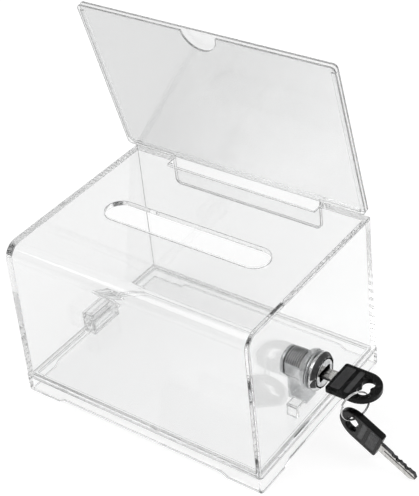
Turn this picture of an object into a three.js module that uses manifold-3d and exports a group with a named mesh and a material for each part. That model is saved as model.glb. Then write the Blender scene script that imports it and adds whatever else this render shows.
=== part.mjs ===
// Small clear counter-top donation box: a lift-up hood over a footed base, a cam lock with
// its pair of keys, and a sign holder whose tongue drops into the hood's rear wall.
// Millimetres, +Z up. The box faces -Y and its lock is on the +X end.
import * as THREE from 'three';
import { mergeVertices } from 'three/addons/utils/BufferGeometryUtils.js';
import Module from 'manifold-3d';

const wasm = await Module();
wasm.setup();

// ---- driving dimensions -------------------------------------------------
const GAP = 0.3; // running and bonding gap between separate pieces

const BASE_LENGTH = 160;
const BASE_DEPTH = 118;
const BASE_HEIGHT = 11;
const BASE_WALL = 2.6;
const BASE_CORNER = 1.5;
const FOOT_LENGTH = 22;
const FOOT_SLOPE = 4.5;
const FOOT_HEIGHT = 2.5;
const RIM_HEIGHT = 1.3;
const RIM_WIDTH = 1.5;

const HOOD_BOTTOM = BASE_HEIGHT + GAP;
const HOOD_TOP = 100;
const HOOD_LENGTH = 158; // at the bottom
const HOOD_DEPTH = 117.4; // at the bottom
const HOOD_WALL = 3;
const HOOD_DRAFT = 1.3; // each side leans in by this much over the height
const HOOD_FRONT_RADIUS = 9;
const SLOT_LENGTH = 105;
const SLOT_WIDTH = 17;
const SLOT_Y = -0.5;

const SIGN_WIDTH = 157.3;
const SIGN_HEIGHT = 101.6;
const SIGN_THICKNESS = 3.7;
const SIGN_SHEET = 1.2;
const SIGN_LEAN = THREE.MathUtils.degToRad(14.45);
const SIGN_SHIFT = -1.3;
const SIGN_Y = 53.2; // front bottom edge
const SIGN_Z = 103;
const SIGN_CORNER = 2.5;
const SIGN_RAIL = 2.6;
const THUMB_RADIUS = 10.5;
const TONGUE_WIDTH = 96.6;
const TONGUE_BOTTOM = 82.7;
const TONGUE_CORNER = 3;
const NOTCH_CLEARANCE = 0.4;

const LOCK_Z = 38;
const BARREL_RADIUS = 8.5;
const BARREL_FLAT = 7; // half of the width across the two flats
const BARREL_INNER = 60;
const FLANGE_BACK = 79;
const FLANGE_RADIUS = 11;
const FLANGE_FACE = 82.4;
const PLUG_RADIUS = 6;
const PLUG_HEAD_RADIUS = 7.8;
const SCREW_RADIUS = 1.7;
const SCREW_HEAD = 3.9;
const SCREW_END = 62.6;
const SQUARE = 6.5;
const CAM_X = 58;
const CAM_THICKNESS = 1.7;
const CAM_REACH = 25.4;
const CAM_SIDES = [-2.2, 7.4];
const CAM_ROUND = 8.3;
const LIP_END = 69.5;
const LIP_THICKNESS = 2;

const KEY_THICKNESS = 3.6;
const KEY_HALF_WIDTH = 11;
const KEY_HEAD_END = 18.2; // square end of the head, from the middle of its hole
const KEY_ROUND_CENTRE = 2.7;
const KEY_HOLE_WAIST = 2.6; // half widths of the ring's hole
const KEY_HOLE_END = 3.5;
const KEY_HOLE_REACH = 6.4;
const BLADE_END = 42.2;
const BLADE_HALF_WIDTH = 3.6;
const BLADE_THICKNESS = 2;
const TANG_THICKNESS = 1.2;
const TANG_LENGTH = 7.5;
const KEY_A_HOLE_X = 107.2;
const RING_RADIUS = 8.5;
const RING_WIRE = 0.7;
const RING_CENTRE = [105.8, -8.75, 32.7];
const RING_RUN = [0.45, 0.893, 0];
const KEY_B_ALONG = [0.909, -0.107, -0.402];
const KEY_B_ACROSS = [0.376, -0.205, 0.904];
const KEY_B_HANG = 4.8; // from the middle of its hole up to the ring

const HOOK_SIZE = [8, 22, 13.7];
const HOOK_X = -75;
const HOOK_WALL = 2;
const HOOK_MOUTH = [13.2, 20.2];
const TAB_LEVEL = [14.5, 16.1];
const TAB_HALF = 8.5;
const TAB_END = -71.5;

const LUG_X = [64, 70.5];
const LUG_Y = [-13.2, -5.6];
const LUG_TOP = 19;
const LUG_ROOF = 2;
const LUG_POST = 2.2;

// ---- geometry helpers ---------------------------------------------------
function solid(geometry) {
  const plain = geometry.clone();
  plain.deleteAttribute('normal');
  plain.deleteAttribute('uv');
  const merged = mergeVertices(plain, 1e-4);
  const vertProperties = new Float32Array(merged.attributes.position.array);
  const triVerts = new Uint32Array(merged.index.array);
  return new wasm.Manifold(new wasm.Mesh({ numProp: 3, vertProperties, triVerts }));
}

function geometryOf(manifold) {
  const mesh = manifold.getMesh();
  const geometry = new THREE.BufferGeometry();
  geometry.setAttribute('position', new THREE.BufferAttribute(mesh.vertProperties, 3));
  geometry.setIndex(new THREE.BufferAttribute(mesh.triVerts, 1));
  geometry.computeVertexNormals();
  return geometry;
}

// cut or join a body with others, all given as geometries
function cut(body, ...tools) {
  let result = solid(body);
  for (const tool of tools) {
    result = result.subtract(solid(tool));
  }
  return geometryOf(result);
}

function join(body, ...others) {
  let result = solid(body);
  for (const other of others) {
    result = result.add(solid(other));
  }
  return geometryOf(result);
}

function common(body, other) {
  return geometryOf(solid(body).intersect(solid(other)));
}

function block(x, y, z) {
  const geometry = new THREE.BoxGeometry(x[1] - x[0], y[1] - y[0], z[1] - z[0]);
  return geometry.translate((x[0] + x[1]) / 2, (y[0] + y[1]) / 2, (z[0] + z[1]) / 2);
}

function extrude(shape, depth, options = {}) {
  return new THREE.ExtrudeGeometry(shape, { depth, bevelEnabled: false, curveSegments: 10, ...options });
}

// stand a drawing of (Y, Z) up and give it a length along X
function alongX(shape, x0, x1, options) {
  const turn = new THREE.Matrix4().makeBasis(AXIS.y, AXIS.z, AXIS.x);
  return extrude(shape, x1 - x0, options).applyMatrix4(turn).translate(x0, 0, 0);
}

// stand a drawing of (X, Z) up and give it a thickness along Y
function alongY(shape, y0, y1, options) {
  const turn = new THREE.Matrix4().makeBasis(AXIS.x, AXIS.z, AXIS.y.clone().negate());
  return extrude(shape, y1 - y0, options).applyMatrix4(turn).translate(0, y1, 0);
}

// turn a closed (x, radius) outline about the lock's axis
function turned(outline, segments = 40) {
  const points = outline.map(([x, r]) => new THREE.Vector2(r, x));
  const geometry = new THREE.LatheGeometry(points, segments).rotateZ(-Math.PI / 2);
  return geometry.translate(0, 0, LOCK_Z);
}

function polygon(points) {
  return new THREE.Shape(points.map(([a, b]) => new THREE.Vector2(a, b)));
}

function roundedRectangle(width, height, radius, bottom = -height / 2) {
  const w = width / 2;
  const top = bottom + height;
  const shape = new THREE.Shape();
  shape.absarc(w - radius, bottom + radius, radius, -Math.PI / 2, 0);
  shape.absarc(w - radius, top - radius, radius, 0, Math.PI / 2);
  shape.absarc(radius - w, top - radius, radius, Math.PI / 2, Math.PI);
  shape.absarc(radius - w, bottom + radius, radius, Math.PI, 1.5 * Math.PI);
  shape.closePath();
  return shape;
}

// a slot outline with two round ends, long along its first axis
function stadium(halfLength, radius) {
  const reach = halfLength - radius;
  const shape = new THREE.Shape();
  shape.absarc(reach, 0, radius, -Math.PI / 2, Math.PI / 2);
  shape.absarc(-reach, 0, radius, Math.PI / 2, 1.5 * Math.PI);
  shape.closePath();
  return shape;
}

// a circle with two flats that face along the first axis
function doubleD(radius, flat) {
  const angle = Math.acos(flat / radius);
  const shape = new THREE.Shape();
  shape.absarc(0, 0, radius, angle, Math.PI - angle);
  shape.absarc(0, 0, radius, Math.PI + angle, 2 * Math.PI - angle);
  shape.closePath();
  return shape;
}

function regularPolygon(sides, acrossFlats) {
  const radius = acrossFlats / 2 / Math.cos(Math.PI / sides);
  const corner = (i) => {
    const angle = (2 * Math.PI * i) / sides;
    return [radius * Math.cos(angle), radius * Math.sin(angle)];
  };
  return polygon(Array.from({ length: sides }, (_, i) => corner(i)));
}

function circle(radius, Kind = THREE.Shape) {
  return new Kind().absarc(0, 0, radius, 0, 2 * Math.PI);
}

const AXIS = {
  x: new THREE.Vector3(1, 0, 0),
  y: new THREE.Vector3(0, 1, 0),
  z: new THREE.Vector3(0, 0, 1),
};

// ---- base ---------------------------------------------------------------
function footCut(length) {
  const atFloor = length / 2 - FOOT_LENGTH;
  const atTop = atFloor - FOOT_SLOPE;
  return polygon([
    [-atFloor, -1], [atFloor, -1], [atFloor, 0],
    [atTop, FOOT_HEIGHT], [-atTop, FOOT_HEIGHT], [-atFloor, 0],
  ]);
}

function baseTray() {
  const inLength = BASE_LENGTH - 2 * BASE_WALL;
  const inDepth = BASE_DEPTH - 2 * BASE_WALL;
  const outside = extrude(roundedRectangle(BASE_LENGTH, BASE_DEPTH, BASE_CORNER), BASE_HEIGHT);
  const inside = extrude(roundedRectangle(inLength, inDepth, BASE_CORNER / 2), BASE_HEIGHT - BASE_WALL + 1);
  inside.translate(0, 0, -1);
  const frontAndBack = alongY(footCut(BASE_LENGTH), -BASE_DEPTH, BASE_DEPTH);
  const leftAndRight = alongX(footCut(BASE_DEPTH), -BASE_LENGTH, BASE_LENGTH);
  const tray = cut(outside, inside, frontAndBack, leftAndRight);
  return join(tray, baseRim());
}

// a low rim that finds the hood's walls from inside, left open where the hook block stands
function baseRim() {
  const length = HOOD_LENGTH - 2 * HOOD_WALL - 0.8;
  const depth = HOOD_DEPTH - 2 * HOOD_WALL - 0.8;
  const outer = extrude(roundedRectangle(length, depth, 1), RIM_HEIGHT + 0.5);
  const inner = extrude(roundedRectangle(length - 2 * RIM_WIDTH, depth - 2 * RIM_WIDTH, 0.5), 4);
  outer.translate(0, 0, BASE_HEIGHT - 0.5);
  inner.translate(0, 0, BASE_HEIGHT - 1);
  const forHook = block([-BASE_LENGTH, 0], [-12, 12], [BASE_HEIGHT - 1, BASE_HEIGHT + 4]);
  return cut(outer, inner, forHook);
}

// the block on the left of the base whose mouth holds the hood's tab down
function hookBlock() {
  const [width, length, height] = HOOK_SIZE;
  const bottom = BASE_HEIGHT + GAP;
  const x1 = HOOK_X + width;
  const innerY = length / 2 - HOOK_WALL;
  const body = block([HOOK_X, x1], [-length / 2, length / 2], [bottom, bottom + height]);
  const mouth = block([HOOK_X - 1, x1 - HOOK_WALL], [-innerY, innerY], HOOK_MOUTH);
  const well = block([HOOK_X + HOOK_WALL, x1 - HOOK_WALL], [-innerY, innerY],
    [HOOK_MOUTH[1] + 1.3, bottom + height + 1]);
  return cut(body, mouth, well);
}

// the lug on the right of the base: the cam's lip turns in under its roof
function catchLug() {
  const bottom = BASE_HEIGHT + GAP;
  return alongX(polygon([
    [LUG_Y[0], bottom], [LUG_Y[0] + LUG_POST, bottom],
    [LUG_Y[0] + LUG_POST, LUG_TOP - LUG_ROOF], [LUG_Y[1], LUG_TOP - LUG_ROOF],
    [LUG_Y[1], LUG_TOP - 0.6], [LUG_Y[1] - 0.8, LUG_TOP], [LUG_Y[0], LUG_TOP],
  ]), LUG_X[0], LUG_X[1]);
}

// ---- hood ---------------------------------------------------------------
// the hood's side view as a drawing of (Y, Z), inset evenly from the outside
function hoodSide(inset, bottom) {
  const low = HOOD_DEPTH / 2 - inset;
  const draft = (z) => low - (HOOD_DRAFT * (z - HOOD_BOTTOM)) / (HOOD_TOP - HOOD_BOTTOM);
  const top = HOOD_TOP - inset;
  const radius = HOOD_FRONT_RADIUS - inset;
  const shape = new THREE.Shape();
  shape.moveTo(-draft(bottom), bottom);
  shape.lineTo(draft(bottom), bottom);
  shape.lineTo(draft(top), top);
  shape.absarc(radius - draft(top - radius), top - radius, radius, Math.PI / 2, Math.PI);
  shape.closePath();
  return shape;
}

function hoodBody(inset, bottom) {
  const half = HOOD_LENGTH / 2 - inset;
  const geometry = alongX(hoodSide(inset, bottom), -half, half, { curveSegments: 14 });
  const position = geometry.attributes.position;
  for (let i = 0; i < position.count; i += 1) {
    const rise = (position.getZ(i) - HOOD_BOTTOM) / (HOOD_TOP - HOOD_BOTTOM);
    position.setX(i, position.getX(i) * (1 - (HOOD_DRAFT * rise) / half));
  }
  return geometry;
}

function hood() {
  const shell = cut(
    hoodBody(0, HOOD_BOTTOM),
    hoodBody(HOOD_WALL, HOOD_BOTTOM - 2),
    moneySlotCutter(),
    alongX(doubleD(BARREL_RADIUS + GAP, BARREL_FLAT + GAP), 70, 90).translate(0, 0, LOCK_Z),
    alongY(tongueOutline(NOTCH_CLEARANCE, HOOD_TOP + 2), HOOD_DEPTH / 2 - 10, HOOD_DEPTH / 2 + 2),
  );
  const wallInside = -HOOD_LENGTH / 2 + HOOD_WALL;
  return join(shell, block([wallInside - 1, TAB_END], [-TAB_HALF, TAB_HALF], TAB_LEVEL));
}

function moneySlotCutter() {
  const shape = stadium(SLOT_LENGTH / 2, SLOT_WIDTH / 2);
  return extrude(shape, 20, { curveSegments: 16 }).translate(0, SLOT_Y, HOOD_TOP - 10);
}

// ---- sign holder --------------------------------------------------------
const signFrame = new THREE.Matrix4()
  .makeTranslation(SIGN_SHIFT, SIGN_Y, SIGN_Z)
  .multiply(new THREE.Matrix4().makeRotationX(SIGN_LEAN));

// the tongue seen from behind, round at its two lower corners
function tongueOutline(clearance, top) {
  const width = TONGUE_WIDTH + 2 * clearance;
  const bottom = TONGUE_BOTTOM - clearance;
  const half = width / 2;
  const r = TONGUE_CORNER;
  const shape = new THREE.Shape();
  shape.moveTo(half, top);
  shape.lineTo(-half, top);
  shape.absarc(r - half, bottom + r, r, Math.PI, 1.5 * Math.PI);
  shape.absarc(half - r, bottom + r, r, 1.5 * Math.PI, 2 * Math.PI);
  shape.closePath();
  return shape;
}

function signOutline() {
  return roundedRectangle(SIGN_WIDTH, SIGN_HEIGHT, SIGN_CORNER, 0);
}

function signFrontSheet() {
  const sheet = alongY(signOutline(), 0, SIGN_SHEET);
  const thumb = alongY(circle(THUMB_RADIUS), -1, SIGN_SHEET + 1, { curveSegments: 24 });
  return cut(sheet, thumb.translate(0, 0, SIGN_HEIGHT)).applyMatrix4(signFrame);
}

// the rear sheet, with the tongue below it that hangs straight down
function signBackSheet() {
  const sheet = alongY(signOutline(), SIGN_THICKNESS - SIGN_SHEET, SIGN_THICKNESS).applyMatrix4(signFrame);
  const foot = new THREE.Vector3(0, SIGN_THICKNESS - SIGN_SHEET, 0).applyMatrix4(signFrame);
  const heel = new THREE.Vector3(0, SIGN_THICKNESS, 0).applyMatrix4(signFrame);
  const lift = new THREE.Vector3(0, 0, 3).applyMatrix4(new THREE.Matrix4().makeRotationX(SIGN_LEAN));
  const front = HOOD_DEPTH / 2 - HOOD_DRAFT - HOOD_WALL + 0.3;
  const back = front + 2.4;
  const neck = HOOD_TOP - 0.4;
  const profile = polygon([
    [front, TONGUE_BOTTOM], [back, TONGUE_BOTTOM], [back, neck],
    [heel.y, heel.z], [heel.y + lift.y, heel.z + lift.z],
    [foot.y + lift.y, foot.z + lift.z], [foot.y, foot.z], [front, neck],
  ]);
  const half = TONGUE_WIDTH / 2;
  const outline = alongY(tongueOutline(0, SIGN_Z + 10), 0, BASE_DEPTH);
  const tongue = common(alongX(profile, -half, half), outline);
  return join(sheet, tongue);
}

function signRail(x0, x1, z0, z1) {
  const y = [SIGN_SHEET + 0.2, SIGN_THICKNESS - SIGN_SHEET - 0.2];
  return block([x0, x1], y, [z0, z1]).applyMatrix4(signFrame);
}

// ---- lock ---------------------------------------------------------------
function lockBarrel() {
  const bore = PLUG_RADIUS + GAP;
  const seat = PLUG_HEAD_RADIUS + GAP;
  const body = turned([
    [BARREL_INNER, bore], [BARREL_INNER, BARREL_RADIUS - 0.7], [BARREL_INNER + 0.7, BARREL_RADIUS],
    [FLANGE_BACK, BARREL_RADIUS], [FLANGE_BACK, FLANGE_RADIUS], [FLANGE_BACK + 1.2, FLANGE_RADIUS],
    [FLANGE_FACE - 0.2, FLANGE_RADIUS - 2], [FLANGE_FACE, FLANGE_RADIUS - 2.2], [FLANGE_FACE, seat],
    [FLANGE_FACE - 1.6, seat], [FLANGE_FACE - 1.6, bore], [BARREL_INNER, bore],
  ]);
  const flats = [[BARREL_FLAT, BARREL_FLAT + 5], [-BARREL_FLAT - 5, -BARREL_FLAT]].map(
    (y) => block([BARREL_INNER - 1, FLANGE_BACK], y, [LOCK_Z - 12, LOCK_Z + 12]),
  );
  return cut(body, ...flats);
}

function lockWasher() {
  const ring = circle(FLANGE_RADIUS - 0.2);
  ring.holes.push(circle(BARREL_RADIUS + GAP, THREE.Path));
  return alongX(ring, 74.5, 75.2, { curveSegments: 20 }).translate(0, 0, LOCK_Z);
}

function lockNut() {
  const hexagon = regularPolygon(6, 21);
  hexagon.holes.push(circle(BARREL_RADIUS + GAP, THREE.Path));
  const nut = alongX(hexagon, 71, 74.2, { curveSegments: 20 });
  const chamfer = new THREE.CylinderGeometry(11.6, 10.6, 3.2, 40).rotateZ(-Math.PI / 2);
  return common(nut, chamfer.translate(72.6, 0, 0)).translate(0, 0, LOCK_Z);
}

function lockPlug() {
  const head = FLANGE_FACE + 0.2;
  const shoulder = CAM_X + CAM_THICKNESS + GAP;
  const body = turned([
    [shoulder, 0], [shoulder, PLUG_RADIUS], [FLANGE_FACE - 1.3, PLUG_RADIUS],
    [FLANGE_FACE - 1.3, PLUG_HEAD_RADIUS], [head - 0.3, PLUG_HEAD_RADIUS], [head, PLUG_HEAD_RADIUS - 0.3],
    [head, 0],
  ]);
  const half = SQUARE / 2;
  const square = block([CAM_X - 0.2, shoulder + 1], [-half, half], [LOCK_Z - half, LOCK_Z + half]);
  const keyway = block([KEY_A_HOLE_X - BLADE_END - 1, head + 1], [-3.9, 3.9], [LOCK_Z - 1.35, LOCK_Z + 1.35]);
  const [tap, tapEnd] = [SCREW_RADIUS + GAP, SCREW_END + GAP];
  const tapped = turned([[CAM_X - 1, 0], [CAM_X - 1, tap], [tapEnd, tap], [tapEnd, 0]], 24);
  return cut(join(body, square), keyway, tapped);
}

// the cam: a plate on the plug's square, with a lip turned towards the wall at its lower end
function lockCam() {
  const [near, far] = CAM_SIDES;
  const hole = SQUARE / 2 + GAP / 2;
  const x1 = CAM_X + CAM_THICKNESS;
  const plate = join(
    alongX(circle(CAM_ROUND), CAM_X, x1, { curveSegments: 20 }),
    block([CAM_X, x1], [near, far], [-CAM_REACH, 0]),
    block([CAM_X, LIP_END], [near, far], [-CAM_REACH, LIP_THICKNESS - CAM_REACH]),
  );
  return cut(plate, block([CAM_X - 1, x1 + 1], [-hole, hole], [-hole, hole])).translate(0, 0, LOCK_Z);
}

function camWasher() {
  const ring = circle(5);
  ring.holes.push(circle(SCREW_RADIUS + GAP, THREE.Path));
  return alongX(ring, CAM_X - 1, CAM_X - 0.5, { curveSegments: 16 }).translate(0, 0, LOCK_Z);
}

// the low screw, with a cross recess, that holds the cam on the plug's square
function camScrew() {
  const start = CAM_X - 2.6;
  const body = turned([
    [start, 0], [start, SCREW_HEAD - 0.5], [start + 0.4, SCREW_HEAD], [start + 1.3, SCREW_HEAD],
    [start + 1.3, SCREW_RADIUS], [SCREW_END - 0.4, SCREW_RADIUS], [SCREW_END, SCREW_RADIUS - 0.4],
    [SCREW_END, 0],
  ], 32);
  const bar = (y, z) => block([start - 1, start + 0.8], [-y, y], [LOCK_Z - z, LOCK_Z + z]);
  return cut(body, bar(2, 0.45), bar(0.45, 2));
}

// ---- keys and ring ------------------------------------------------------
// Both keys are drawn flat about the middle of the hole in the head, blade towards +X.
// The ring's hole runs across the head, with two round ends and a narrower waist.
function keyHole() {
  const turn = Math.acos(KEY_HOLE_WAIST / KEY_HOLE_END);
  const middle = KEY_HOLE_REACH - KEY_HOLE_END;
  const path = new THREE.Path();
  path.absarc(0, middle, KEY_HOLE_END, -turn, Math.PI + turn);
  path.absarc(0, -middle, KEY_HOLE_END, Math.PI - turn, 2 * Math.PI + turn);
  path.closePath();
  return path;
}

function keyHead() {
  const half = KEY_HALF_WIDTH;
  const corner = 1.4;
  const shape = new THREE.Shape();
  shape.absarc(KEY_HEAD_END - corner, half - corner, corner, 0, Math.PI / 2);
  shape.absarc(KEY_ROUND_CENTRE, 0, half, Math.PI / 2, 1.5 * Math.PI);
  shape.absarc(KEY_HEAD_END - corner, corner - half, corner, 1.5 * Math.PI, 2 * Math.PI);
  shape.closePath();
  shape.holes.push(keyHole());
  const bevel = 0.5;
  const head = extrude(shape, KEY_THICKNESS - 2 * bevel, {
    bevelEnabled: true, bevelThickness: bevel, bevelSize: bevel, bevelOffset: -bevel, bevelSegments: 2,
  }).translate(0, 0, bevel - KEY_THICKNESS / 2);
  const inside = TANG_THICKNESS / 2 + 0.2;
  const pocket = block([KEY_HEAD_END - TANG_LENGTH - GAP, KEY_HEAD_END + 1], [-4.3, 4.3], [-inside, inside]);
  return cut(head, pocket);
}

// the blade's outline, with its row of cuts along one edge and a pointed tip
function keyBlade() {
  const start = KEY_HEAD_END + GAP;
  const edge = BLADE_HALF_WIDTH;
  const points = [
    [start, -edge], [BLADE_END - 3, -edge],
    [BLADE_END, -0.6], [BLADE_END, 0.8], [BLADE_END - 2, edge],
  ];
  const cuts = [0.5, 1.5, 0.9, 1.7, 1.1];
  const pitch = 2.9;
  cuts.forEach((depth, i) => {
    const middle = BLADE_END - 3.8 - pitch * i;
    points.push([middle + 0.5, edge - depth], [middle - 0.5, edge - depth]);
    points.push([middle - pitch / 2, edge - 0.2]);
  });
  points.push([start, edge]);
  const half = BLADE_THICKNESS / 2;
  const flat = extrude(polygon(points), BLADE_THICKNESS).translate(0, 0, -half);
  const tangHalf = TANG_THICKNESS / 2;
  const tang = block([KEY_HEAD_END - TANG_LENGTH, start + 1], [-4, 4], [-tangHalf, tangHalf]);
  const groove = [[0.3, half - 0.35, half + 1], [-1.1, -half - 1, 0.35 - half]].map(
    ([y, z0, z1]) => block([start + 3, BLADE_END + 1], [y, y + 1.2], [z0, z1]),
  );
  return cut(join(flat, tang), ...groove);
}

function keyRing() {
  return new THREE.TorusGeometry(RING_RADIUS, RING_WIRE, 8, 48);
}

// ---- materials and assembly --------------------------------------------
const clear = (color) => new THREE.MeshStandardMaterial({
  color, roughness: 0.05, metalness: 0, transparent: true, opacity: 0.35,
});
const metal = (color, roughness) => new THREE.MeshStandardMaterial({ color, roughness, metalness: 1 });
const plastic = (color) => new THREE.MeshStandardMaterial({ color, roughness: 0.45, metalness: 0 });

function piece(name, geometry, material) {
  const mesh = new THREE.Mesh(geometry, material);
  mesh.name = name;
  return mesh;
}

function frameOf(xAxis, yAxis, origin) {
  const x = new THREE.Vector3(...xAxis).normalize();
  const z = new THREE.Vector3().crossVectors(x, new THREE.Vector3(...yAxis)).normalize();
  const y = new THREE.Vector3().crossVectors(z, x);
  return new THREE.Matrix4().makeBasis(x, y, z).setPosition(...origin);
}

function placed(matrix, ...children) {
  const group = new THREE.Group();
  group.applyMatrix4(matrix);
  group.add(...children);
  return group;
}

function key(letter, matrix) {
  return placed(
    matrix,
    piece(`key_${letter}_head`, keyHead(), plastic(0x1b1b1d)),
    piece(`key_${letter}_blade`, keyBlade(), metal(0xd9d9d6, 0.25)),
  );
}

const box = new THREE.Group();
box.add(
  piece('base_tray', baseTray(), clear(0xe9eeef)),
  piece('hook_block', hookBlock(), clear(0xe9eeef)),
  piece('catch_lug', catchLug(), clear(0xe9eeef)),
  piece('hood', hood(), clear(0xe9eeef)),
);

const railInset = SIGN_WIDTH / 2 - 0.4;
const railTop = SIGN_HEIGHT - 4;
box.add(
  piece('sign_front_sheet', signFrontSheet(), clear(0xdfe4e6)),
  piece('sign_back_sheet', signBackSheet(), clear(0xdfe4e6)),
  piece('sign_left_rail', signRail(-railInset, SIGN_RAIL - railInset, 3.5, railTop), clear(0xdfe4e6)),
  piece('sign_right_rail', signRail(railInset - SIGN_RAIL, railInset, 3.5, railTop), clear(0xdfe4e6)),
  piece('sign_bottom_rail', signRail(3 - railInset, railInset - 3, 0.4, 3), clear(0xdfe4e6)),
);

box.add(
  piece('lock_barrel', lockBarrel(), metal(0xcfd0d1, 0.18)),
  piece('lock_washer', lockWasher(), metal(0xbfc0c2, 0.35)),
  piece('lock_nut', lockNut(), metal(0xc4c5c7, 0.3)),
  piece('lock_plug', lockPlug(), metal(0xd2d2d2, 0.2)),
  piece('lock_cam', lockCam(), metal(0x8f9193, 0.35)),
  piece('cam_washer', camWasher(), metal(0xbfc0c2, 0.35)),
  piece('cam_screw', camScrew(), metal(0xc4c5c7, 0.3)),
);

const ringBottom = new THREE.Vector3(...RING_CENTRE).add(new THREE.Vector3(0, 0, -RING_RADIUS));
const keyBHole = ringBottom.clone().addScaledVector(new THREE.Vector3(...KEY_B_ACROSS), -KEY_B_HANG);
box.add(
  key('a', frameOf([-1, 0, 0], [0, -1, 0], [KEY_A_HOLE_X, 0, LOCK_Z])),
  placed(frameOf(RING_RUN, [0, 0, 1], RING_CENTRE), piece('key_ring', keyRing(), metal(0xc9cacc, 0.25))),
  key('b', frameOf(KEY_B_ALONG, KEY_B_ACROSS, keyBHole.toArray())),
);

// the origin is the middle of the whole footprint, keys included, on the surface below
const footprint = new THREE.Box3().setFromObject(box, true);
const middle = footprint.getCenter(new THREE.Vector3());
box.position.set(-middle.x, -middle.y, -footprint.min.z);

export default box;
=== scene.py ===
"""A small clear counter-top donation box with a sign holder, a cam lock and a ring of two keys.

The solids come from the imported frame. Each one is welded, given its moulded or turned edges and a finish,
and the thread, the split ring and the ribs on the keys are grown by node trees.
"""
import math

import bmesh
import bpy
from mathutils import Matrix, Vector


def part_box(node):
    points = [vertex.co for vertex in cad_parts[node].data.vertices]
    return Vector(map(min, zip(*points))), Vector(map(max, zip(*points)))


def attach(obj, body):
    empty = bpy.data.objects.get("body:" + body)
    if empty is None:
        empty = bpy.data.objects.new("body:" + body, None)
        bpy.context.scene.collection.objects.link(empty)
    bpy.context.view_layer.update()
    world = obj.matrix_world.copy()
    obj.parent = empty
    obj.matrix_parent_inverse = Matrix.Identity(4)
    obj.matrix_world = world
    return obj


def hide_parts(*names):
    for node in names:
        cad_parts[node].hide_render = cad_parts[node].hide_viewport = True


MM = 0.001
ACRYLIC_IOR = 1.49
FACE_ON = 0.8  # a polygon whose normal lies further than this cosine from a sheet's own is one of its sides
HEAD_HALF = 1.8  # half of a key head's thickness, in millimetres
RING_RADIUS = 8.5 * MM
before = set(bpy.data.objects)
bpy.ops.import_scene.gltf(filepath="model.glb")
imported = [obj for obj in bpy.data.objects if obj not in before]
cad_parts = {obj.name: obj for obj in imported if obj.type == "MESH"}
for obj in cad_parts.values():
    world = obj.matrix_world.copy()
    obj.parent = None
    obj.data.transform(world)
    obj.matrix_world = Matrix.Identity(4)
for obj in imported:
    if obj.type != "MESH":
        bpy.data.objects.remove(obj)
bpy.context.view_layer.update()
SCENE = bpy.context.scene

TRAY_LOW, TRAY_HIGH = (Vector(corner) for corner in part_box("base_tray"))
CENTRE_X = (TRAY_LOW.x + TRAY_HIGH.x) / 2
BARREL_LOW, BARREL_HIGH = (Vector(corner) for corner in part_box("lock_barrel"))
LOCK_AXIS = Vector((0, 0, (BARREL_LOW.z + BARREL_HIGH.z) / 2))


# ---- camera -----------------------------------------------------------------
def make_camera():
    """A long lens on the box's front right, tilted a little to the left."""
    azimuth, elevation, roll = (math.radians(a) for a in (39.13, 35.81, -6.17))
    back = Vector((
        math.sin(azimuth) * math.cos(elevation),
        -math.cos(azimuth) * math.cos(elevation),
        math.sin(elevation),
    ))
    right = (-back).cross(Vector((0, 0, 1))).normalized()
    up = back.cross(right)
    turn = Matrix((right, up, back)).transposed() @ Matrix.Rotation(roll, 3, "Z")
    data = bpy.data.cameras.new("camera")
    data.lens = 95.77
    data.sensor_width = 36
    eye = Vector((CENTRE_X + 366.3 * MM, -432.1 * MM, 496.6 * MM))
    camera = bpy.data.objects.new("camera", data)
    camera.matrix_world = Matrix.LocRotScale(eye, turn.to_quaternion(), None)
    SCENE.collection.objects.link(camera)
    SCENE.camera = camera


# ---- node helpers -----------------------------------------------------------
def add(tree, kind, inputs=None, **settings):
    """Adds a node. Each input is a plain value, or an output socket to link from."""
    node = tree.nodes.new(kind)
    for name, value in settings.items():
        setattr(node, name, value)
    for name, value in (inputs or {}).items():
        if isinstance(value, bpy.types.NodeSocket):
            tree.links.new(value, node.inputs[name])
        else:
            node.inputs[name].default_value = value
    return node


def math_node(tree, operation, first, second):
    """One step of arithmetic on two values or sockets."""
    node = add(tree, "ShaderNodeMath", {0: first, 1: second}, operation=operation)
    return node.outputs[0]


def spread(tree, value, from_low, from_high, to_low, to_high):
    """Maps a value from one range to another, held inside the second."""
    node = add(tree, "ShaderNodeMapRange", {
        "Value": value, "From Min": from_low, "From Max": from_high, "To Min": to_low, "To Max": to_high,
    })
    return node.outputs["Result"]


def mixed(tree, factor, first, second):
    """Blends two colours: the first at a factor of 0, the second at 1."""
    node = add(tree, "ShaderNodeMix", data_type="RGBA")
    for socket, value in ((node.inputs[0], factor), (node.inputs[6], first), (node.inputs[7], second)):
        if isinstance(value, bpy.types.NodeSocket):
            tree.links.new(value, socket)
        else:
            socket.default_value = value
    return node.outputs[2]


def effect(name, inputs, outputs):
    """Starts a shader node group with named sockets, and returns it with its two end nodes."""
    tree = bpy.data.node_groups.new(name, "ShaderNodeTree")
    for label, kind, value in inputs:
        socket = tree.interface.new_socket(name=label, in_out="INPUT", socket_type=kind)
        if value is not None:
            socket.default_value = value
    for label in outputs:
        tree.interface.new_socket(name=label, in_out="OUTPUT", socket_type="NodeSocketFloat")
    return tree, tree.nodes.new("NodeGroupInput"), tree.nodes.new("NodeGroupOutput")


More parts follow.
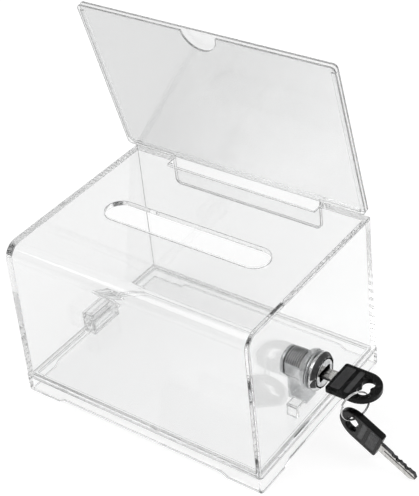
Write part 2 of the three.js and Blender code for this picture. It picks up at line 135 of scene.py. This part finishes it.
# ---- shared effects ---------------------------------------------------------
def handling_marks():
    """Finger smears and fine hairline scratches: two masks from 0 to 1."""
    tree, given, result = effect("handling marks", [
        ("Vector", "NodeSocketVector", None),
        ("Smear Scale", "NodeSocketFloat", 30.0),
        ("Scratch Scale", "NodeSocketFloat", 90.0),
    ], ["Smears", "Scratches"])
    vector = given.outputs["Vector"]
    smear = add(tree, "ShaderNodeTexNoise", {
        "Vector": vector, "Scale": given.outputs["Smear Scale"], "Detail": 4.0, "Roughness": 0.6,
        "Distortion": 1.2,
    })
    tree.links.new(spread(tree, smear.outputs["Fac"], 0.5, 0.72, 0.0, 1.0), result.inputs["Smears"])
    lines = None
    for turn in (0.5, 1.9):
        placed = add(tree, "ShaderNodeMapping", {
            "Vector": vector, "Rotation": (0.3, turn * 0.4, turn), "Scale": (1.0, 26.0, 26.0),
        })
        line = add(tree, "ShaderNodeTexNoise", {
            "Vector": placed.outputs["Vector"], "Scale": given.outputs["Scratch Scale"], "Detail": 1.0,
        })
        thin = spread(tree, line.outputs["Fac"], 0.7, 0.78, 0.0, 1.0)
        lines = thin if lines is None else math_node(tree, "MAXIMUM", lines, thin)
    tree.links.new(lines, result.inputs["Scratches"])
    return tree


def brushed_grain():
    """Fine drawn lines along one axis, with slow mottling under them."""
    tree, given, result = effect("brushed grain", [
        ("Vector", "NodeSocketVector", None),
        ("Scale", "NodeSocketFloat", 300.0),
        ("Stretch", "NodeSocketVector", (0.05, 1.0, 1.0)),
    ], ["Lines", "Mottle"])
    drawn = add(tree, "ShaderNodeVectorMath", {
        0: given.outputs["Vector"], 1: given.outputs["Stretch"]}, operation="MULTIPLY")
    line = add(tree, "ShaderNodeTexNoise", {
        "Vector": drawn.outputs[0], "Scale": given.outputs["Scale"], "Detail": 3.0})
    mottle = add(tree, "ShaderNodeTexNoise", {
        "Vector": given.outputs["Vector"], "Scale": math_node(tree, "MULTIPLY", given.outputs["Scale"], 0.5),
        "Detail": 5.0, "Roughness": 0.65,
    })
    tree.links.new(line.outputs["Fac"], result.inputs["Lines"])
    tree.links.new(mottle.outputs["Fac"], result.inputs["Mottle"])
    return tree


def moulded_grain():
    """The fine pebbled skin of moulded plastic."""
    tree, given, result = effect("moulded grain", [
        ("Vector", "NodeSocketVector", None),
        ("Scale", "NodeSocketFloat", 2500.0),
    ], ["Height", "Sheen"])
    cells = add(tree, "ShaderNodeTexVoronoi", {
        "Vector": given.outputs["Vector"], "Scale": given.outputs["Scale"]}, feature="SMOOTH_F1")
    cloud = add(tree, "ShaderNodeTexNoise", {
        "Vector": given.outputs["Vector"], "Scale": math_node(tree, "MULTIPLY", given.outputs["Scale"], 0.12),
        "Detail": 3.0,
    })
    tree.links.new(cells.outputs["Distance"], result.inputs["Height"])
    tree.links.new(cloud.outputs["Fac"], result.inputs["Sheen"])
    return tree


MARKS = handling_marks()
GRAIN = brushed_grain()
SKIN = moulded_grain()


# ---- materials --------------------------------------------------------------
def new_material(name):
    """An empty material with its Principled shader, its output and object coordinates."""
    material = bpy.data.materials.new(name)
    material.use_nodes = True
    tree = material.node_tree
    tree.nodes.clear()
    shader = tree.nodes.new("ShaderNodeBsdfPrincipled")
    output = tree.nodes.new("ShaderNodeOutputMaterial")
    tree.links.new(shader.outputs["BSDF"], output.inputs["Surface"])
    place = tree.nodes.new("ShaderNodeTexCoord").outputs["Object"]
    return material, tree, shader, output, place


def bump(tree, shader, height, strength, distance):
    """Raises a material's surface by a height mask."""
    node = add(tree, "ShaderNodeBump", {"Height": height, "Strength": strength, "Distance": distance})
    tree.links.new(node.outputs["Normal"], shader.inputs["Normal"])


def clear_acrylic(name, deep, light, fade, haze, matt=0.0):
    """Water-clear moulded acrylic with painted shade in its colour: a grey that fades from deep to light
    along X minus Z, over the fade span.
    """
    material, tree, shader, _, place = new_material(name)
    shader.inputs["IOR"].default_value = ACRYLIC_IOR
    shader.inputs["Transmission Weight"].default_value = 1.0
    marks = tree.nodes.new("ShaderNodeGroup")
    marks.node_tree = MARKS
    tree.links.new(place, marks.inputs["Vector"])
    parts = add(tree, "ShaderNodeSeparateXYZ", {0: place}).outputs
    cloud = add(tree, "ShaderNodeTexNoise", {"Vector": place, "Scale": 9.0, "Detail": 2.0})
    slope = math_node(tree, "SUBTRACT", parts["X"], parts["Z"])
    ragged = math_node(tree, "ADD", slope, math_node(tree, "MULTIPLY", cloud.outputs["Fac"], 0.05))
    # painted shade: the colour is darker where X minus Z is low
    shade_fade = spread(tree, ragged, fade[0], fade[1], 0.0, 1.0)
    tree.links.new(mixed(tree, shade_fade, deep, light), shader.inputs["Base Color"])
    smear = math_node(tree, "MULTIPLY", marks.outputs["Smears"], haze)
    scratch = math_node(tree, "MULTIPLY", marks.outputs["Scratches"], haze * 2)
    worn = math_node(tree, "MAXIMUM", smear, scratch)
    tree.links.new(math_node(tree, "ADD", worn, matt), shader.inputs["Roughness"])
    return material


def painted_edge_shade(name, dark, pale, clear):
    """Painted shade for the grey line along a moulded acrylic edge: part clear, in patches of darker and
    paler grey.
    """
    material, tree, shader, _, place = new_material(name)
    shader.inputs["IOR"].default_value = ACRYLIC_IOR
    shader.inputs["Transmission Weight"].default_value = clear
    cloud = add(tree, "ShaderNodeTexNoise", {"Vector": place, "Scale": 120.0, "Detail": 4.0})
    patchy = spread(tree, cloud.outputs["Fac"], 0.35, 0.65, 0.0, 1.0)
    tree.links.new(mixed(tree, patchy, dark, pale), shader.inputs["Base Color"])
    tree.links.new(spread(tree, patchy, 0.0, 1.0, 0.2, 0.3), shader.inputs["Roughness"])
    return material


def bright_metal(name, color, dark, rough, scale, stretch, lift):
    """Plated metal with a drawn grain and a darker mottle: dull oxide patches, and on the chrome also painted
    shade.
    """
    material, tree, shader, _, place = new_material(name)
    shader.inputs["Metallic"].default_value = 1.0
    grain = tree.nodes.new("ShaderNodeGroup")
    grain.node_tree = GRAIN
    tree.links.new(place, grain.inputs["Vector"])
    grain.inputs["Scale"].default_value = scale
    grain.inputs["Stretch"].default_value = stretch
    # the darker mottle: dull oxide patches, and in the chrome painted shade
    tarnish_and_shade = spread(tree, grain.outputs["Mottle"], 0.45, 0.75, 0.0, 1.0)
    tree.links.new(mixed(tree, tarnish_and_shade, color, dark), shader.inputs["Base Color"])
    lined = spread(tree, grain.outputs["Lines"], 0.3, 0.7, rough[0], rough[1])
    tree.links.new(lined, shader.inputs["Roughness"])
    bump(tree, shader, grain.outputs["Lines"], lift, 0.02 * MM)
    return material


def black_plastic(name, color, worn, rough, shine, grain_scale, lift):
    """Moulded black plastic with a fine skin and a few rubbed patches."""
    material, tree, shader, _, place = new_material(name)
    shader.inputs["Specular IOR Level"].default_value = shine
    skin = tree.nodes.new("ShaderNodeGroup")
    skin.node_tree = SKIN
    tree.links.new(place, skin.inputs["Vector"])
    skin.inputs["Scale"].default_value = grain_scale
    marks = tree.nodes.new("ShaderNodeGroup")
    marks.node_tree = MARKS
    tree.links.new(place, marks.inputs["Vector"])
    marks.inputs["Smear Scale"].default_value = 160.0
    marks.inputs["Scratch Scale"].default_value = 300.0
    rubbed = math_node(tree, "MAXIMUM", math_node(tree, "MULTIPLY", marks.outputs["Smears"], 0.5),
                       marks.outputs["Scratches"])
    tree.links.new(mixed(tree, rubbed, color, worn), shader.inputs["Base Color"])
    tree.links.new(spread(tree, skin.outputs["Sheen"], 0.35, 0.65, rough[0], rough[1]),
                   shader.inputs["Roughness"])
    bump(tree, shader, skin.outputs["Height"], lift, 0.05 * MM)
    return material


# The greys of these clear colours and their fades are painted shade, for the grey backdrop seen through the
# acrylic.
HOOD_CLEAR = clear_acrylic("clear hood acrylic", (0.93, 0.932, 0.932, 1), (0.972, 0.974, 0.974, 1),
                           (-0.11, 0.03), 0.01, 0.035)
BASE_CLEAR = clear_acrylic("clear base acrylic", (0.985, 0.987, 0.987, 1), (0.995, 0.997, 0.997, 1),
                           (-0.1, 0.05), 0.015, 0.03)
SIGN_CLEAR = clear_acrylic("sign acrylic, painted shade", (0.83, 0.832, 0.832, 1), (0.91, 0.912, 0.912, 1),
                           (-0.19, -0.09), 0.01, 0.1)
SIGN_SIDE = clear_acrylic("sign sheet side", (0.95, 0.952, 0.952, 1), (0.98, 0.982, 0.982, 1),
                          (-0.2, -0.08), 0.01, 0.1)
# The greys of these edge roundings are painted shade.
HOOD_EDGE = painted_edge_shade("hood edge, painted shade", (0.46, 0.465, 0.465, 1), (0.62, 0.625, 0.625, 1), 0.5)
BASE_EDGE = painted_edge_shade("base edge, painted shade", (0.42, 0.425, 0.425, 1), (0.58, 0.585, 0.585, 1), 0.45)
SIGN_EDGE = painted_edge_shade("sign edge, painted shade", (0.42, 0.425, 0.425, 1), (0.58, 0.585, 0.585, 1), 0.5)
# The chrome's colour and its dark mottle are lowered for the dark things it reflects: painted shade in its
# reflections, over dull oxide patches.
CHROME = bright_metal("bright chrome", (0.6, 0.605, 0.61, 1), (0.2, 0.2, 0.205, 1), (0.06, 0.18), 700.0,
                      (0.06, 1.0, 1.0), 0.25)
# A near-black metal that is painted shade, for recesses, cuts, the thread's root and the flange's upper
# slope.
SHADE_METAL = bright_metal("near-black metal, painted shade", (0.07, 0.07, 0.072, 1), (0.025, 0.025, 0.025, 1), (0.35, 0.55), 900.0,
                   (0.4, 1.0, 1.0), 0.5)
ZINC = bright_metal("zinc plated steel", (0.6, 0.61, 0.62, 1), (0.38, 0.38, 0.38, 1), (0.25, 0.45), 500.0,
                    (1.0, 1.0, 0.08), 0.4)
BLADE = bright_metal("nickel key blade", (0.62, 0.61, 0.59, 1), (0.24, 0.235, 0.225, 1), (0.14, 0.3), 900.0,
                     (0.05, 1.0, 1.0), 0.3)
WIRE = bright_metal("steel ring wire", (0.6, 0.6, 0.6, 1), (0.35, 0.35, 0.35, 1), (0.1, 0.25), 1200.0,
                    (1.0, 1.0, 1.0), 0.2)
BLACK = black_plastic("black key plastic", (0.002, 0.002, 0.002, 1), (0.012, 0.012, 0.012, 1), (0.2, 0.32),
                      0.12, 2600.0, 0.15)
PANEL = black_plastic("black key panel", (0.035, 0.035, 0.036, 1), (0.07, 0.07, 0.07, 1), (0.4, 0.55),
                      0.5, 4200.0, 0.5)


# ---- mesh helpers -----------------------------------------------------------
def shown(name, mesh):
    """Puts a mesh into the scene as an object of its own."""
    obj = bpy.data.objects.new(name, mesh)
    SCENE.collection.objects.link(obj)
    return obj


def settled(obj):
    """Turns an object's modifiers into plain mesh."""
    graph = bpy.context.evaluated_depsgraph_get()
    mesh = bpy.data.meshes.new_from_object(obj.evaluated_get(graph), depsgraph=graph)
    obj.modifiers.clear()
    obj.data = mesh
    return obj


def welded(node):
    """A CAD node's mesh with its corners joined and its flat faces whole."""
    bm = bmesh.new()
    bm.from_mesh(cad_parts[node].data)
    bmesh.ops.remove_doubles(bm, verts=bm.verts, dist=0.002 * MM)
    bmesh.ops.dissolve_limit(bm, angle_limit=math.radians(0.4), verts=bm.verts, edges=bm.edges)
    return bm


def object_of(name, bm, material):
    """Turns a working mesh into an object with one material."""
    mesh = bpy.data.meshes.new(name)
    bm.to_mesh(mesh)
    bm.free()
    mesh.materials.clear()
    mesh.materials.append(material)
    return shown(name, mesh)


def eased(obj, width, segments=3, edge=None):
    """Rounds every edge sharper than 28 degrees by a width in millimetres, and keeps flat faces flat.

    Edge is the rounding's own material, where it has one; on the clear pieces it is painted edge shade.
    """
    for polygon in obj.data.polygons:
        polygon.use_smooth = True
    ease = obj.modifiers.new("eased edges", "BEVEL")
    ease.width = width * MM
    ease.segments = segments
    ease.limit_method = "ANGLE"
    ease.angle_limit = math.radians(28.0)
    ease.miter_outer = "MITER_ARC"
    ease.use_clamp_overlap = False
    if edge:
        obj.data.materials.append(edge)
        ease.material = len(obj.data.materials) - 1
    level = obj.modifiers.new("level faces", "WEIGHTED_NORMAL")
    level.keep_sharp = True
    level.weight = 90
    return settled(obj)


def hand_over(obj, body, slot, *nodes):
    """Hands a finished piece to the frame, in place of its solids."""
    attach(obj, body)
    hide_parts(*nodes)


def carved(obj, cutter):
    """Cuts one object out of another; the cut faces take the cutter's material."""
    cut = obj.modifiers.new("pockets", "BOOLEAN")
    cut.operation = "DIFFERENCE"
    cut.solver = "EXACT"
    cut.material_mode = "TRANSFER"
    cut.object = cutter
    bpy.context.view_layer.update()
    settled(obj)
    bpy.data.objects.remove(cutter)
    return obj


def merged(name, *objects):
    """Joins finished objects into one mesh, keeping each one's materials."""
    materials = []
    for obj in objects:
        materials += [m for m in obj.data.materials if m not in materials]
    bm = bmesh.new()
    for obj in objects:
        own = [materials.index(m) for m in obj.data.materials]
        start = len(bm.faces)
        bm.from_mesh(obj.data)
        bm.faces.ensure_lookup_table()
        for face in bm.faces[start:]:
            face.material_index = own[face.material_index]
        bpy.data.objects.remove(obj)
    mesh = bpy.data.meshes.new(name)
    bm.to_mesh(mesh)
    bm.free()
    for material in materials:
        mesh.materials.append(material)
    return shown(name, mesh)


def rounded(low, high, radius, steps=5):
    """A rectangle's outline with round corners, counter-clockwise."""
    points = []
    for quarter, (cx, cy) in enumerate(((high[0], high[1]), (low[0], high[1]), low, (high[0], low[1]))):
        inward = (-1 if cx == high[0] else 1, -1 if cy == high[1] else 1)
        for step in range(steps + 1):
            angle = math.radians(90 * (quarter + step / steps))
            points.append((cx + radius * (inward[0] + math.cos(angle)),
                           cy + radius * (inward[1] + math.sin(angle))))
    return points


def add_slab(bm, outline, bottom, top):
    """Adds a closed slab, its outline in millimetres."""
    low = [bm.verts.new((x * MM, y * MM, bottom * MM)) for x, y in outline]
    high = [bm.verts.new((x * MM, y * MM, top * MM)) for x, y in outline]
    bm.faces.new(reversed(low))
    bm.faces.new(high)
    for i, vert in enumerate(low):
        j = (i + 1) % len(low)
        bm.faces.new((vert, low[j], high[j], high[i]))


def refined(node, body, slot, material, width, segments=3, edge=None):
    """Makes the finished piece of a solid that needs only its edges eased."""
    obj = eased(object_of(node + "_finished", welded(node), material), width, segments, edge)
    hand_over(obj, body, slot, node)


# ---- clear pieces -----------------------------------------------------------
def make_sheet(node):
    """One sheet of the sign holder, grey with painted shade through its faces and paler through its thin
    sides.
    """
    sheet = object_of(node + "_finished", welded(node), SIGN_CLEAR)
    sheet.data.materials.append(SIGN_SIDE)
    for polygon in sheet.data.polygons:
        polygon.material_index = int(abs(polygon.normal.y) < FACE_ON)
    hand_over(eased(sheet, 0.18, 2, edge=SIGN_EDGE), "sign", "clear_sign_acrylic", node)


def make_clear_pieces():
    """The base, the hood and the sign holder."""
    for node, width in (("base_tray", 0.24), ("hook_block", 0.24), ("catch_lug", 0.22)):
        refined(node, "base", "clear_acrylic", BASE_CLEAR, width, edge=BASE_EDGE)
    refined("hood", "hood_shell", "clear_acrylic", HOOD_CLEAR, 0.26, edge=HOOD_EDGE)
    make_sheet("sign_front_sheet")
    make_sheet("sign_back_sheet")
    for node in ("sign_left_rail", "sign_right_rail", "sign_bottom_rail"):
        refined(node, "sign", "clear_sign_acrylic", SIGN_SIDE, 0.12, 2)


# ---- repeats grown by node trees --------------------------------------------
def node_tool(name, inputs):
    """Starts a geometry node tree with named inputs, and returns it with its two end nodes."""
    tree = bpy.data.node_groups.new(name, "GeometryNodeTree")
    for label, kind, value in inputs:
        socket = tree.interface.new_socket(name=label, in_out="INPUT", socket_type=kind)
        if value is not None:
            socket.default_value = value
    tree.interface.new_socket(name="Geometry", in_out="OUTPUT", socket_type="NodeSocketGeometry")
    return tree, tree.nodes.new("NodeGroupInput"), tree.nodes.new("NodeGroupOutput")


def finish_tool(tree, given, result, geometry):
    """Ends a tool: its copies made real, and its material set."""
    whole = add(tree, "GeometryNodeRealizeInstances", {"Geometry": geometry})
    dressed = add(tree, "GeometryNodeSetMaterial", {
        "Geometry": whole.outputs["Geometry"], "Material": given.outputs["Material"]})
    tree.links.new(dressed.outputs["Geometry"], result.inputs["Geometry"])
    return tree


def winding_tool():
    """A wire wound along Z; its far sides are pressed flat at plus and minus Flat along Y.

    The default Flat of a metre leaves it round.
    """
    tree, given, result = node_tool("winding", [
        ("Turns", "NodeSocketFloat", 2.0),
        ("Radius", "NodeSocketFloat", 8 * MM),
        ("Pitch", "NodeSocketFloat", MM),
        ("Wire", "NodeSocketFloat", 0.4 * MM),
        ("Sides", "NodeSocketInt", 10),
        ("Flat", "NodeSocketFloat", 1.0),
        ("Material", "NodeSocketMaterial", None),
    ])
    value = given.outputs
    path = add(tree, "GeometryNodeCurveSpiral", {
        "Resolution": 72, "Rotations": value["Turns"], "Start Radius": value["Radius"],
        "End Radius": value["Radius"], "Height": math_node(tree, "MULTIPLY", value["Turns"], value["Pitch"]),
    })
    upright = add(tree, "GeometryNodeSetCurveNormal", {"Curve": path.outputs["Curve"]}, mode="Z_UP")
    section = add(tree, "GeometryNodeCurvePrimitiveCircle", {
        "Resolution": value["Sides"], "Radius": value["Wire"]})
    wire = add(tree, "GeometryNodeCurveToMesh", {
        "Curve": upright.outputs["Curve"], "Profile Curve": section.outputs["Curve"], "Fill Caps": True})
    spot = tree.nodes.new("GeometryNodeInputPosition").outputs["Position"]
    parts = add(tree, "ShaderNodeSeparateXYZ", {0: spot}).outputs
    far = math_node(tree, "MINIMUM", parts["Y"], value["Flat"])
    near = math_node(tree, "MAXIMUM", far, math_node(tree, "MULTIPLY", value["Flat"], -1.0))
    held = add(tree, "ShaderNodeCombineXYZ", {"X": parts["X"], "Y": near, "Z": parts["Z"]})
    flattened = add(tree, "GeometryNodeSetPosition", {
        "Geometry": wire.outputs["Mesh"], "Position": held.outputs["Vector"]})
    return finish_tool(tree, given, result, flattened.outputs["Geometry"])


def rib_tool():
    """A row of plain ribs along X."""
    tree, given, result = node_tool("rib row", [
        ("Count", "NodeSocketInt", 4),
        ("Pitch", "NodeSocketFloat", MM),
        ("Thickness", "NodeSocketFloat", 0.4 * MM),
        ("Length", "NodeSocketFloat", 10 * MM),
        ("Height", "NodeSocketFloat", 0.5 * MM),
        ("Material", "NodeSocketMaterial", None),
    ])
    value = given.outputs
    step = add(tree, "ShaderNodeCombineXYZ", {"X": value["Pitch"]})
    size = add(tree, "ShaderNodeCombineXYZ", {
        "X": value["Thickness"], "Y": value["Length"], "Z": value["Height"]})
    line = add(tree, "GeometryNodeMeshLine", {"Count": value["Count"], "Offset": step.outputs["Vector"]})
    rib = add(tree, "GeometryNodeMeshCube", {"Size": size.outputs["Vector"]})
    row = add(tree, "GeometryNodeInstanceOnPoints", {
        "Points": line.outputs["Mesh"], "Instance": rib.outputs["Mesh"]})
    return finish_tool(tree, given, result, row.outputs["Instances"])


def grown(name, tool, matrix, values):
    """Runs a node tool with its named inputs set, keeps the result as plain mesh and places it."""
    obj = shown(name, bpy.data.meshes.new(name))
    growth = obj.modifiers.new("growth", "NODES")
    growth.node_group = tool
    for item in tool.interface.items_tree:
        if item.in_out == "INPUT" and item.name in values:
            growth[item.identifier] = values[item.name]
    settled(obj)
    obj.data.transform(matrix)
    return obj


WINDING = winding_tool()
RIBS = rib_tool()


# ---- lock -------------------------------------------------------------------
def threaded_barrel():
    """The lock's body with two milled flats: the root drawn in, and the thread wound on it."""
    root, flat, pitch = 8.0 * MM, 7.0 * MM, 1.25 * MM
    flange_back = BARREL_HIGH.x - 4.6 * MM
    bm = welded("lock_barrel")
    # Known fault: some corners of the flange's front face lie in this range of radii as well. They move too,
    # and that face then crosses itself and closes over the bore, just behind the plug's front.
    for vert in bm.verts:
        out = math.hypot(vert.co.y, vert.co.z - LOCK_AXIS.z)
        if 1.02 * root < out < 1.1 * root:
            drawn = math.sqrt(root ** 2 - min(abs(vert.co.y), flat) ** 2)
            vert.co.z = LOCK_AXIS.z + math.copysign(drawn, vert.co.z - LOCK_AXIS.z)
    body = object_of("barrel_body", bm, CHROME)
    body.data.materials.append(SHADE_METAL)
    body.data.materials.append(ZINC)
    shaded, zinc = 1, 2
    square_on = 0.99
    # The round root between the thread's turns, and the sloped faces facing the front above a line 3 mm under
    # the axis, take the near-black metal: painted shade.
    for polygon in body.data.polygons:
        side = math.hypot(polygon.normal.y, polygon.normal.z)
        sloped = polygon.normal.x > 0.3 and side > 0.5
        if side > square_on and polygon.center.x < flange_back:
            polygon.material_index = zinc if abs(polygon.normal.y) > square_on else shaded
        elif sloped and polygon.center.z > LOCK_AXIS.z - 3 * MM:
            polygon.material_index = shaded
    eased(body, 0.25)
    start = Vector((BARREL_LOW.x + 0.5 * MM, 0, LOCK_AXIS.z))
    place = Matrix.Translation(start) @ Matrix.Rotation(math.pi / 2, 4, "Y")
    thread = grown("barrel_thread", WINDING, place, {
        "Turns": 8.6, "Radius": root + 0.1 * MM, "Pitch": pitch, "Wire": 0.45 * MM, "Sides": 4,
        "Flat": flat - 0.02 * MM, "Material": CHROME,
    })
    hand_over(merged("lock_barrel_finished", body, thread), "hood_shell", "bright_chrome", "lock_barrel")


def recessed_plug():
    """The turning plug, with a shallow recess round its keyway, its cut faces near-black for painted shade.
    """
    bm = bmesh.new()
    add_slab(bm, rounded((-3.1, -5.2), (3.1, 5.2), 1.4), -0.9, 1.0)
    face = Vector((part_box("lock_plug")[1][0], 0, LOCK_AXIS.z))
    bm.transform(Matrix.Translation(face) @ Matrix.Rotation(math.pi / 2, 4, "Y"))
    plug = object_of("lock_plug_finished", welded("lock_plug"), CHROME)
    # the recess's cut faces take the near-black metal: painted shade
    carved(plug, object_of("keyway_recess", bm, SHADE_METAL))
    hand_over(eased(plug, 0.15, 2), "plug", "bright_chrome", "lock_plug")


def make_lock():
    """The cam lock, from its threaded barrel to the screw behind its cam."""
    threaded_barrel()
    recessed_plug()
    refined("lock_washer", "hood_shell", "zinc_steel", ZINC, 0.12, 2)
    refined("lock_nut", "hood_shell", "zinc_steel", ZINC, 0.3)
    refined("lock_cam", "plug", "zinc_steel", ZINC, 0.35)
    refined("cam_washer", "plug", "zinc_steel", ZINC, 0.12, 2)
    refined("cam_screw", "plug", "zinc_steel", ZINC, 0.15, 2)


# ---- keys and ring ----------------------------------------------------------
def frame_of(along, across, origin):
    """A key's or the ring's own frame: X along it, Z out of its face."""
    x = Vector(along).normalized()
    z = x.cross(Vector(across)).normalized()
    turn = Matrix((x, z.cross(x), z)).transposed()
    return Matrix.Translation(origin) @ turn.to_4x4()


def make_head(letter, place):
    """A key's moulded head: a raised rim round two sunk panels, with a bar and fine ribs between."""
    sunk, rib_depth = 0.5, 0.42
    head = object_of("head", welded(f"key_{letter}_head"), BLACK)
    bm = bmesh.new()
    for low, high in (((10.9, -8.9), (16.3, 8.9)), ((5.4, -8.9), (8.3, 8.9))):
        for side in (-1, 1):
            span = sorted((side * (HEAD_HALF - sunk), side * (HEAD_HALF + 1)))
            add_slab(bm, rounded(low, high, 1.0), *span)
    bm.transform(place)
    eased(carved(head, object_of("pockets", bm, PANEL)), 0.22, 2)
    rows = [
        grown("ribs", RIBS, place @ Matrix.Translation((12.0 * MM, 0, side * (HEAD_HALF - rib_depth) * MM)), {
            "Count": 4, "Pitch": 1.1 * MM, "Thickness": 0.45 * MM, "Length": 13 * MM,
            "Height": 0.5 * MM, "Material": PANEL,
        })
        for side in (-1, 1)
    ]
    ribs = [eased(row, 0.1, 2) for row in rows]
    head = merged(f"key_{letter}_head_finished", head, *ribs)
    hand_over(head, "key_" + letter, "black_plastic", f"key_{letter}_head")


def make_blade(letter, place):
    """A key's blade: bright faces, with painted shade on its sides, cuts and groove walls."""
    body = "key_" + letter
    blade = object_of(body + "_blade_finished", welded(body + "_blade"), BLADE)
    blade.data.materials.append(SHADE_METAL)
    face = place.to_3x3() @ Vector((0, 0, 1))
    # every face not turned to the blade's face takes the near-black metal: painted shade
    for polygon in blade.data.polygons:
        polygon.material_index = int(abs(polygon.normal.dot(face)) < FACE_ON)
    hand_over(eased(blade, 0.08, 2), body, "nickel_blade", body + "_blade")


def make_keys():
    """Key A sits in the lock, the split ring hangs from it, and key B hangs from the ring."""
    ring = [Vector(corner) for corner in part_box("key_ring")]
    centre = (ring[0] + ring[1]) / 2
    key_a_hole = (CENTRE_X + 107.2 * MM, 0, LOCK_AXIS.z)
    along, across = (0.909, -0.107, -0.402), (0.376, -0.205, 0.904)
    ring_foot = Vector((centre.x, centre.y, centre.z - RING_RADIUS))
    key_b_hole = ring_foot - 4.8 * MM * Vector(across).normalized()
    places = {
        "a": frame_of((-1, 0, 0), (0, -1, 0), key_a_hole),
        "b": frame_of(along, across, key_b_hole),
    }
    for letter, place in places.items():
        make_head(letter, place)
        make_blade(letter, place)
    pitch = 0.68 * MM
    upright = frame_of((0.45, 0.893, 0), (0, 0, 1), centre)
    ends = Matrix.Rotation(math.radians(154), 4, "Z") @ Matrix.Translation((0, 0, -pitch))
    coil = grown("key_ring_finished", WINDING, upright @ ends, {
        "Turns": 2.0, "Radius": RING_RADIUS, "Pitch": pitch, "Wire": 0.33 * MM, "Sides": 12,
        "Material": WIRE,
    })
    for polygon in coil.data.polygons:
        polygon.use_smooth = len(polygon.vertices) == 4
    hand_over(coil, "ring", "ring_wire", "key_ring")


# ---- studio -----------------------------------------------------------------
def make_floor():
    """A pale lit table under the box."""
    bm = bmesh.new()
    bmesh.ops.create_grid(bm, x_segments=1, y_segments=1, size=4.0)
    bmesh.ops.translate(bm, verts=bm.verts, vec=(0, 0, -0.2 * MM))
    material, tree, shader, _, place = new_material("pale table")
    speckle = add(tree, "ShaderNodeTexNoise", {"Vector": place, "Scale": 60.0, "Detail": 4.0})
    shade = mixed(tree, speckle.outputs["Fac"], (0.24, 0.24, 0.24, 1), (0.28, 0.28, 0.28, 1))
    tree.links.new(shade, shader.inputs["Base Color"])
    shader.inputs["Roughness"].default_value = 0.9
    shader.inputs["Emission Color"].default_value = (1, 1, 1, 1)
    shader.inputs["Emission Strength"].default_value = 0.8
    object_of("table", bm, material)


def softbox(name, place, aim, size, power):
    """A rectangular lamp that faces a point."""
    data = bpy.data.lights.new(name, "AREA")
    data.shape = "RECTANGLE"
    data.size, data.size_y = size
    data.energy = power
    lamp = bpy.data.objects.new(name, data)
    way = Vector(aim) - Vector(place)
    lamp.matrix_world = Matrix.Translation(place) @ way.to_track_quat("-Z", "Y").to_matrix().to_4x4()
    SCENE.collection.objects.link(lamp)


def make_light():
    """A pale room that darkens towards the horizon, and two soft boxes."""
    world = bpy.data.worlds.new("studio")
    world.use_nodes = True
    SCENE.world = world
    tree = world.node_tree
    tree.nodes.clear()
    way = tree.nodes.new("ShaderNodeTexCoord").outputs["Generated"]
    height = add(tree, "ShaderNodeSeparateXYZ", {0: way}).outputs["Z"]
    ramp = add(tree, "ShaderNodeValToRGB", {"Fac": height})
    brightness = {0.0: 0.8, 0.2: 0.75, 0.5: 0.95, 1.0: 1.0}
    while len(ramp.color_ramp.elements) < len(brightness):
        ramp.color_ramp.elements.new(0.5)
    for element, (position, grey) in zip(ramp.color_ramp.elements, brightness.items()):
        element.position = position
        element.color = (grey, grey, grey, 1)
    back = add(tree, "ShaderNodeBackground", {"Color": ramp.outputs["Color"], "Strength": 0.85})
    output = tree.nodes.new("ShaderNodeOutputWorld")
    tree.links.new(back.outputs[0], output.inputs["Surface"])
    softbox("key light", (-0.5, -0.7, 1.3), (0, 0, 0.05), (0.9, 0.9), 5)
    softbox("fill light", (0.9, 0.3, 1.0), (0, 0, 0.05), (0.7, 0.7), 3)
    SCENE.view_settings.view_transform = "Standard"
    bounces = 64  # the light inside a clear wall turns back many times before it leaves at an edge
    SCENE.cycles.max_bounces = bounces
    SCENE.cycles.glossy_bounces = bounces
    SCENE.cycles.transmission_bounces = bounces


make_camera()
make_clear_pieces()
make_lock()
make_keys()
make_floor()
make_light()
